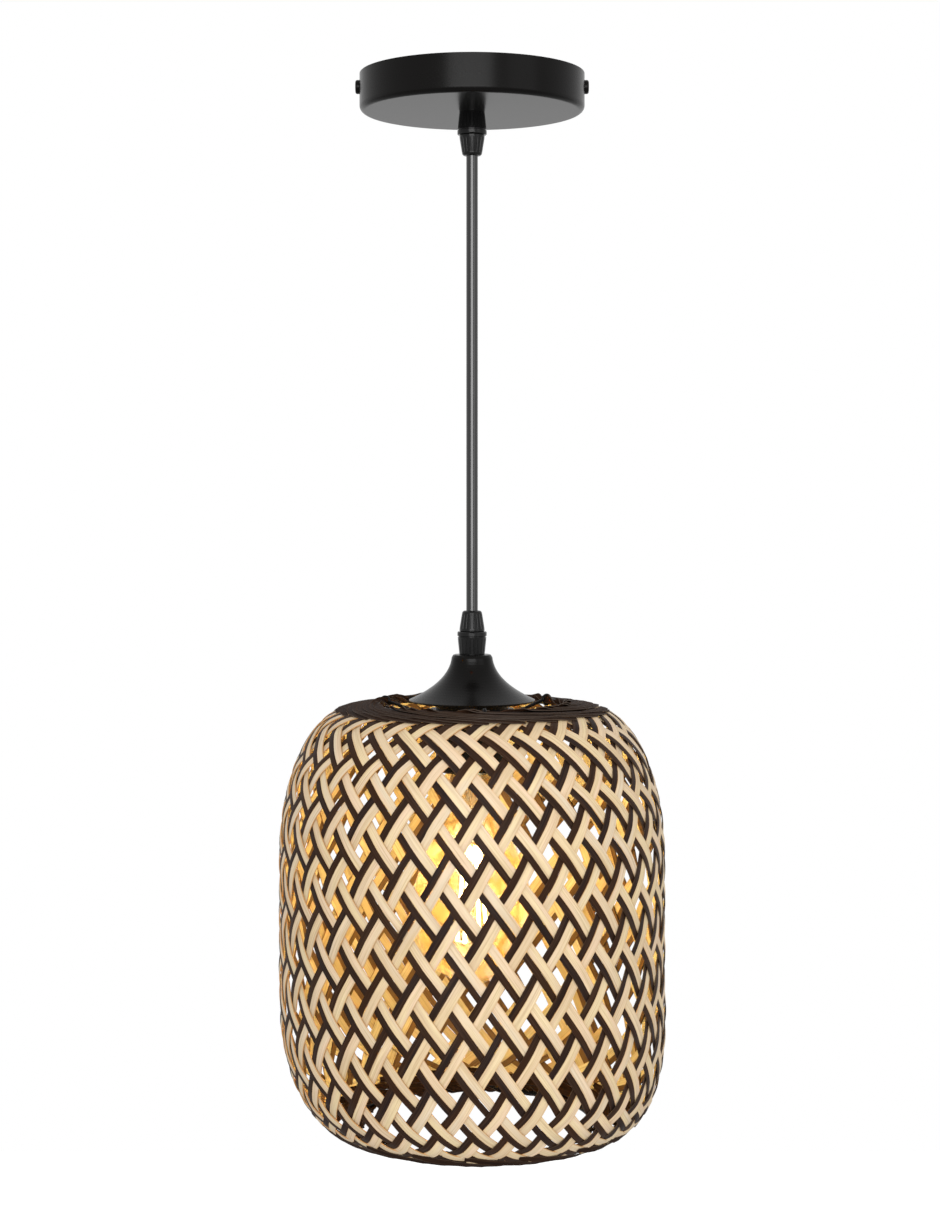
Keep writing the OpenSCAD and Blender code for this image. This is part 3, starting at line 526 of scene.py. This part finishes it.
def rowHeight(along):
    radius = outlineAt(along)[0]
    level = 2 * math.pi * radius / weave["strandCount"]
    leans = leanTan(radius, weave["rightLean"]) + leanTan(radius, weave["leftLean"])
    return max(weave["leastRow"], level / leans)


# Crossings counted down the shade, so that every row has the same count between its neighbours
countAlong, countValue = [weave["rowStart"]], [0.0]
while countAlong[-1] < weave["rowEnd"]:
    countValue.append(countValue[-1] + weave["countStep"] / rowHeight(countAlong[-1]))
    countAlong.append(countAlong[-1] + weave["countStep"])
rowScale = weave["rows"] / countValue[-1]


def alongAtRow(row):
    return between(countValue, countAlong, row / rowScale)


# Towards both rims the strips lie down along the rim and run in under the borders
def alongAt(row):
    top, foot = weaveRims["topTurnFrom"], weaveRims["footTurnFrom"]
    if row < top:
        t = (top - row) / (top - weaveRims["topTip"] + weaveRims["topRoom"])
        return alongAtRow(top) * (1 - t) ** weaveRims["topEase"]
    if row > foot:
        t = (row - foot) / (weaveRims["footTip"] - foot + weaveRims["footRoom"])
        start = alongAtRow(foot)
        run = weave["rowEnd"] + weaveRims["footPast"] - start
        return start + run * (1 - (1 - t) ** weaveRims["footEase"])
    return alongAtRow(row)


# Over or under: one by one, but two by two in the first rows
def rowSide(row):
    if row < weave["pairedRows"]:
        return -1 if row < weave["pairedRows"] / 2 else 1
    return -1 if row % 2 == 0 else 1


def crimpAt(row):
    low = math.floor(row)
    t = row - low
    ease = t * t * (3 - 2 * t)
    a, b = rowSide(low), rowSide(low + 1)
    least, toRim = weave["rimCrimp"], min(row, weave["rows"] - row)
    fade = min(1, max(least, least + weave["crimpRise"] * toRim))
    return weave["crimp"] * fade * (a + (b - a) * ease)


# Woven by hand, the rows sag and lean by a few millimetres; both hands of strands follow alike.
# In millimetres, the three groups are what stays, what grows on the way down and what grows
# with its square; each has a number for the front, for the side and for the side squared.
slack = {
    "sag": ((0.7, 2.2, 6.5), (2.4, 0.1, -0.9), (-0.3, 1.5, 2.5)),
    "lean": ((1.6, 0.0, -1.0), (1.0, -1.7, 1.9), (-2.4, -3.0, -1.0)),
    "front": 270, "middle": 125 * mm, "reach": 100 * mm,
    "top": 6 * mm, "foot": 232 * mm, "fade": 30 * mm,
}


def slackAt(kind, angle, along):
    side = math.sin(angle - math.radians(slack["front"]))
    down = (along - slack["middle"]) / slack["reach"]
    terms = [a + b * down + c * down ** 2 for a, b, c in zip(*slack[kind])]
    toRims = (along - slack["top"], slack["foot"] - along)
    fades = [min(1, max(0, d / slack["fade"])) for d in toRims]
    return (terms[0] + terms[1] * side + terms[2] * side ** 2) * fades[0] * fades[1] * mm


# A strand's place at a row; hand is 1 for the strands that lean right and -1 for the others
def strandPoint(row, turn, hand):
    along = alongAt(row)
    share = rightShare if hand > 0 else rightShare - 1
    front = math.radians(weave["frontTurn"])
    angle = front + turn + (row - weave["frontRow"]) * share * strandPitch
    lean = slackAt("lean", angle, along) / outlineAt(along)[0]
    along += slackAt("sag", angle, along)
    angle += lean
    radius, height = outlineAt(along)
    return turned(radius, angle, height), angle, along


def surfaceNormal(angle, along):
    step = weave["normalStep"]
    d = direction(outlineAt(along - step), outlineAt(along + step))
    return Vector((-d.y * math.cos(angle), -d.y * math.sin(angle), d.x))


def layStrip(index, hand, fromEdge, toEdge, seed):
    draw = random.Random(seed)
    centre = (fromEdge + toEdge) / 2
    half = (toEdge - fromEdge) / 2 * (1 + draw.uniform(-1, 1) * handwork["widthSpread"])
    sideways = wobble(seed + 1, handwork["wanderWaves"])
    widths = wobble(seed + 2, handwork["widthWaves"])
    edges = roughEdges(seed + 3, handwork["edgeWaves"], handwork["edgeRough"])
    rises = wobble(seed + 5, handwork["riseWaves"])
    first, last, turn = weaveRims["topTip"], weaveRims["footTip"], index * strandPitch
    stations = round((last - first) * weave["stationsPerRow"])
    lines = []
    for i in range(stations + 1):
        row = first + (last - first) * i / stations
        place, angle, along = strandPoint(row, turn, hand)
        after = strandPoint(min(row + weave["rowStep"], last), turn, hand)[0]
        before = strandPoint(max(row - weave["rowStep"], first), turn, hand)[0]
        normal = surfaceNormal(angle, along)
        across = normal.cross((after - before).normalized()).normalized()
        out = weave["lift"] + hand * crimpAt(row) + handwork["rise"] * rises(along)
        aside = centre + handwork["wander"] * sideways(along)
        width = 1 + handwork["widthSwell"] * widths(along)
        lines.append((place + normal * out + across * aside, across, normal, along, width))
    return laidStrip(lines, weave["columns"], half, centre, draw.random(), edges,
                     weave["crown"], index * weave["grainStep"])


# From one edge to the other a strand is a natural strip, a narrow gap and a black strip
def strandEdges(naturalWidth, blackWidth):
    whole = naturalWidth + weave["stripGap"] + blackWidth
    return (whole / 2 - naturalWidth, whole / 2), (-whole / 2, -whole / 2 + blackWidth)


# Each strand's inner face takes the copy that is painted with the bulb's light
naturalLook = [bamboo["naturalBamboo" + face] for face in ("Outer", "Inner", "Edge")]
blackLook = [bamboo["blackBamboo" + face] for face in ("Outer", "Inner", "Edge")]
rightNatural, rightBlack = strandEdges(*weave["right"])
leftNatural, leftBlack = strandEdges(*weave["left"])
strandSets = (  # piece, CAD node, slot, hand, edges across the strand, seed, look
    ("rightNaturalStrips", "right_natural_strips", "natural_bamboo",
     1, rightNatural, 100, naturalLook),
    ("rightBlackStrips", "right_black_strips", "black_bamboo", 1, rightBlack, 3100, blackLook),
    ("leftNaturalStrips", "left_natural_strips", "natural_bamboo",
     -1, leftNatural, 6100, naturalLook),
    ("leftBlackStrips", "left_black_strips", "black_bamboo", -1, leftBlack, 9100, blackLook),
)
for name, node, slotName, hand, edges, seed, look in strandSets:
    strips = [layStrip(i, hand, *edges, seed + 20 * i) for i in range(weave["strandCount"])]
    finishedStrips(strips, name, node, weave["thickness"], look)
print("weave ready")


# A border runs over the weave's edge, round the hoop and back along the inside. Its line starts
# some millimetres from the rim, measured along the shade, and goes on over the rim's points.
borders = {
    "top": {  # sweep is how far round the rim a ribbon runs, in degrees
        "ribbons": 26, "sweep": 104, "width": 4.6 * mm, "half": 1.5 * mm, "inside": 1 * mm,
        "outerFrom": (2.4, 1.2, 0.01), "innerFrom": (9, 6.5, 4, 2.4, 1.2, 0.01),
        "rim": ((56 * mm, -337.2 * mm), (51.1 * mm, -336.4 * mm)),
    },
    "foot": {
        "ribbons": 19, "sweep": 70, "width": 4.6 * mm, "half": 1.3 * mm, "inside": 3 * mm,
        "from": (17.5, 15, 12.5, 10, 7.5, 5, 2.5),
        "rim": ((shade["footRadius"], shade["footHeight"]), (63.6 * mm, shade["footHeight"])),
    },
    "thickness": 0.42 * mm, "tilt": 8, "stations": 70, "columns": 4, "turnStep": 15,
    "sweepSpread": (0.9, 1.1), "widthSpread": (0.85, 1.15), "startSpread": (-0.05, 0.05),
    "tipWidth": 0.5, "tipTaper": 6, "ribbonLength": 0.15, "grainStep": 0.11,
    "overlap": 1 * mm, "normalStep": 0.3 * mm,
    "wander": 0.35 * mm, "wanderWaves": ((0.05, 0.12), (0.02, 0.04)),
    "edgeRough": 0.22 * mm, "edgeWaves": ((0.008, 0.02), (0.02, 0.05), (0.003, 0.008)),
}


# Offsets the line to its left, turns round its end and comes back on the other side
def roundTheRim(points, half):
    last = len(points) - 1

    def normalAt(i):
        d = direction(points[max(i - 1, 0)], points[min(i + 1, last)])
        return Vector((-d.y, d.x))
    there = [Vector(p) + normalAt(i) * half for i, p in enumerate(points)]
    back = [Vector(p) - normalAt(i) * half for i, p in enumerate(points)]
    end, n = Vector(points[-1]), normalAt(last)
    forward = Vector((n.y, -n.x))
    angles = [math.radians(d) for d in range(borders["turnStep"], 180, borders["turnStep"])]
    turn = [end + (n * math.cos(a) + forward * math.sin(a)) * half for a in angles]
    line = [tuple(p) for p in there + turn + back[::-1]]
    lengths = runLengths(line)
    return line, lengths, (lengths[len(there) - 1] + lengths[len(there) + len(turn)]) / 2


# One flat strip that runs round the rim while it works its way from edge to edge of the band
def layRibbon(border, line, lengths, fromU, toU, start, way, seed):
    draw = random.Random(seed)
    edges = roughEdges(seed + 1, borders["edgeWaves"], borders["edgeRough"])
    sideways = wobble(seed + 4, borders["wanderWaves"])
    sweep = math.radians(border["sweep"]) * draw.uniform(*borders["sweepSpread"])
    shift = draw.uniform(*borders["startSpread"])
    tilt = math.radians(borders["tilt"])
    stations, length, step = (borders[k] for k in ("stations", "ribbonLength", "normalStep"))
    spots = []
    for i in range(stations + 1):
        t = i / stations
        u = fromU + (toU - fromU) * t + borders["wander"] * sideways(t * length)
        d = direction(between(lengths, line, u - step), between(lengths, line, u + step))
        radius, height = between(lengths, line, u)
        angle = start + shift + way * sweep * t
        place, normal = turned(radius, angle, height), turned(-d.y, angle, d.x)
        spots.append((place, normal, turned(d.x, angle, d.y)))
    lines = []
    for i, (place, normal, inward) in enumerate(spots):
        along = spots[min(i + 1, stations)][0] - spots[max(i - 1, 0)][0]
        across = normal.cross(along.normalized()).normalized()
        side = 1 if across.dot(inward) > 0 else -1
        leaned = across * math.cos(tilt) + normal * math.sin(tilt) * side
        taper = borders["tipWidth"] + borders["tipTaper"] * min(i, stations - i) / stations
        lines.append((place, leaned, normal, i / stations * length, min(1, taper)))
    half = border["width"] / 2 * draw.uniform(*borders["widthSpread"])
    return laidStrip(lines, borders["columns"], half, 0, draw.random(), edges,
                     0, seed * borders["grainStep"])


def layBorder(name, node, border, points, outside, seed):
    line, lengths, turn = roundTheRim(points, border["half"])
    outer = (0, turn + borders["overlap"])
    inner = (lengths[-1] - border["inside"], turn - borders["overlap"])
    ends, way = (outer, 1) if outside else (inner, -1)
    count = border["ribbons"]
    ribbons = [layRibbon(border, line, lengths, *ends, 2 * math.pi * i / count, way, seed + 10 * i)
               for i in range(count)]
    black = bamboo["blackBambooBorder"]
    finishedStrips(ribbons, name, node, borders["thickness"],
                   (black, black, bamboo["blackBambooEdge"]))


top, foot = borders["top"], borders["foot"]
topOuterLine = [outlineAt(k * mm) for k in top["outerFrom"]] + list(top["rim"])
topInnerLine = [outlineAt(k * mm) for k in top["innerFrom"]] + list(top["rim"])
footLine = [outlineAt(outlineAlong[-1] - k * mm) for k in foot["from"]] + list(foot["rim"])
layBorder("topBorderOuter", "top_border_outer", top, topOuterLine, True, 20100)
layBorder("topBorderInner", "top_border_inner", top, topInnerLine, False, 20500)
layBorder("footBorderOuter", "bottom_border_outer", foot, footLine, True, 20900)
layBorder("footBorderInner", "bottom_border_inner", foot, footLine, False, 21300)
print("borders ready")


# Finishes of the CAD nodes, in the order colour, roughness, metal, grain per metre, bump, shine
plainGrain = {"lighter": 1.25, "cloud": 25, "roughSpread": 0.05, "depth": 0.04 * mm}
plainLooks = {
    "powderCoat": ((0.0026, 0.0023, 0.0021), 0.26, 0, 2200, 0.06, 0.09),
    "blackPlastic": ((0.004, 0.004, 0.004), 0.22, 0, 1500, 0.06, 0.19),
    "zincPlate": ((0.56, 0.57, 0.56), 0.32, 1, 900, 0.08, 0.5),
    "brassMetal": ((0.72, 0.50, 0.20), 0.28, 1, 900, 0.08, 0.5),
    "nylon": ((0.72, 0.69, 0.58), 0.5, 0, 900, 0.08, 0.5),
    "brownPvc": ((0.10, 0.035, 0.014), 0.35, 0, 900, 0.05, 0.5),
    "greenPvc": ((0.14, 0.32, 0.03), 0.35, 0, 900, 0.05, 0.5),
    "ceramic": ((0.78, 0.76, 0.70), 0.2, 0, 400, 0.05, 0.5),
    "nickel": ((0.60, 0.58, 0.54), 0.22, 1, 900, 0.06, 0.5),
    "blackGlass": ((0.01, 0.01, 0.012), 0.1, 0, 200, 0.03, 0.5),
}


def plainFinish(name, colour, rough, metal, grainScale, bump, shine):
    build = Nodes(name)
    build.set("Specular IOR Level", shine)
    build.set("Metallic", metal)
    grain = build.noise(build.place(), grainScale, 4)
    cloud = build.noise(build.place(), plainGrain["cloud"], 3)
    lighter = tuple(min(1, c * plainGrain["lighter"]) for c in colour)
    spread = plainGrain["roughSpread"]
    build.colour(build.mix(build.spread(cloud, 0, 1), colour, lighter))
    build.roughness(build.spread(grain, rough - spread, rough + spread))
    build.bump(grain, bump, plainGrain["depth"])
    return build.material


plain = {name: plainFinish(name, *look) for name, look in plainLooks.items()}

# The bulb: smoky amber glass with swirls, a clear stem inside and glowing filaments
bulb = {
    "swirl": 38, "swirlTwist": 1.6, "swirlBump": 0.3, "swirlDepth": 0.6 * mm,
    "amber": ((0.35, (0.42, 0.28, 0.11)), (0.5, (0.24, 0.135, 0.032)), (0.62, (0.52, 0.38, 0.19))),
    "amberRough": 0.06, "amberAlpha": 0.42,
    "clear": ((0.3, (0.90, 0.92, 0.92)), (0.7, (0.96, 0.96, 0.96))),
    "clearRough": 0.05, "clearAlpha": 0.3,
    "warm": ((0.3, (1.0, 0.62, 0.26)), (0.7, (1.0, 0.74, 0.40))), "filamentPower": 40,
    "glowPower": 1.1, "glowColour": (1.0, 0.86, 0.50), "glowSize": 0.02,
}


def amberGlass():
    build = Nodes("amberGlass")
    swirl = build.noise(build.place((1, 1, 0.35)), bulb["swirl"], 5, 0.55, bulb["swirlTwist"])
    build.colour(build.ramp(swirl, *bulb["amber"]))
    build.set("Roughness", bulb["amberRough"])
    build.set("Alpha", bulb["amberAlpha"])
    build.bump(swirl, bulb["swirlBump"], bulb["swirlDepth"])
    return build.material


def clearGlass():
    build = Nodes("clearGlass")
    build.colour(build.ramp(build.noise(build.place((1, 1, 0.3)), 60, 2), *bulb["clear"]))
    build.set("Roughness", bulb["clearRough"])
    build.set("Alpha", bulb["clearAlpha"])
    return build.material


def glowingFilament():
    build = Nodes("glowingFilament")
    warm = build.ramp(build.noise(build.place(), 400, 2), *bulb["warm"])
    build.colour(warm)
    build.link(warm, build.shader.inputs["Emission Color"])
    build.set("Emission Strength", bulb["filamentPower"])
    return build.material


finishes = {
    "zinc_steel": plain["zincPlate"], "brass": plain["brassMetal"],
    "black_metal": plain["powderCoat"], "black_screw": plain["powderCoat"],
    "grip_plastic": plain["blackPlastic"], "holder_plastic": plain["blackPlastic"],
    "block_plastic": plain["nylon"], "cord_sheath": cordSheath,
    "brown_insulation": plain["brownPvc"], "earth_insulation": plain["greenPvc"],
    "ceramic": plain["ceramic"], "black_glass": plain["blackGlass"],
    "nickel_shell": plain["nickel"], "amber_glass": amberGlass(),
    "clear_glass": clearGlass(), "filament": glowingFilament(),
}
for part in frame["record"]["subparts"]:
    node = nodes[part["node"]]
    if not node.hide_render:
        setMaterials(node, finishes[part["material_slot"]])
print("finishes ready")


room = {
    "floor": -3, "size": 16, "colour": (0.85, 0.85, 0.85, 1), "rough": 0.9,
    "lift": 0.55, "light": 0.68, "backdrop": 1,
}
white = (1, 1, 1, 1)


# The shadow stays, and what the camera sees of the rest comes out white
def paleSurface():
    build = Nodes("paleFloor")
    build.set("Roughness", room["rough"])
    build.set("Base Color", room["colour"])
    build.set("Emission Color", white)
    lift = build.add("ShaderNodeMath", operation="MULTIPLY")
    lift.inputs[1].default_value = room["lift"]
    build.link(build.add("ShaderNodeLightPath").outputs["Is Camera Ray"], lift.inputs[0])
    build.link(lift.outputs[0], build.shader.inputs["Emission Strength"])
    return build.material


clearSelection()
bpy.ops.mesh.primitive_plane_add(size=room["size"], location=(0, 0, room["floor"]))
floor = bpy.context.object
floor.name = "floor"
applyPlace(floor)
setMaterials(floor, paleSurface())


# The world lights the lamp softly, and shows white to the camera, to metal and to glass
def studioWorld():
    world = bpy.data.worlds.new("studio")
    world.use_nodes = True
    tree = world.node_tree
    light = tree.nodes["Background"]
    backdrop = tree.nodes.new("ShaderNodeBackground")
    for surface, strength in ((light, room["light"]), (backdrop, room["backdrop"])):
        surface.inputs["Color"].default_value = white
        surface.inputs["Strength"].default_value = strength
    rays = tree.nodes.new("ShaderNodeLightPath")
    chooser = tree.nodes.new("ShaderNodeMixShader")
    seenBefore = None
    for output in ("Is Camera Ray", "Is Glossy Ray", "Is Transmission Ray"):
        seen = tree.nodes.new("ShaderNodeMath")
        seen.operation = "MAXIMUM"
        seen.inputs[1].default_value = 0
        tree.links.new(rays.outputs[output], seen.inputs[0])
        if seenBefore:
            tree.links.new(seenBefore, seen.inputs[1])
        seenBefore = seen.outputs[0]
    tree.links.new(seenBefore, chooser.inputs["Fac"])
    tree.links.new(light.outputs[0], chooser.inputs[1])
    tree.links.new(backdrop.outputs[0], chooser.inputs[2])
    tree.links.new(chooser.outputs[0], tree.nodes["World Output"].inputs["Surface"])
    return world


bpy.context.scene.world = studioWorld()

lamps = {
    "keyLight": {"place": (-0.08, -2.15, 0.08), "target": (0, 0, -0.25),
                 "width": 1.7, "height": 1.05, "power": 35},
    "fillLight": {"place": (1.7, -1.4, 0.1), "target": (0, 0, -0.35),
                  "width": 1.2, "height": 1.2, "power": 5},
}
for name, lamp in lamps.items():
    data = bpy.data.lights.new(name, "AREA")
    data.shape = "RECTANGLE"
    data.size = lamp["width"]
    data.size_y = lamp["height"]
    data.energy = lamp["power"]
    light = toScene(name, data)
    light.location = lamp["place"]
    towards = Vector(lamp["target"]) - Vector(lamp["place"])
    light.rotation_euler = towards.to_track_quat("-Z", "Y").to_euler()

filamentLow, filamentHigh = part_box("bulb_filaments")
glowData = bpy.data.lights.new("bulbGlow", "POINT")
glowData.energy = bulb["glowPower"]
glowData.color = bulb["glowColour"]
glowData.shadow_soft_size = bulb["glowSize"]
glow = toScene("bulbGlow", glowData)
glow.location = (filamentLow + filamentHigh) / 2
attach(glow, "bulb")

bpy.context.scene.view_settings.view_transform = "Standard"
print("light ready")
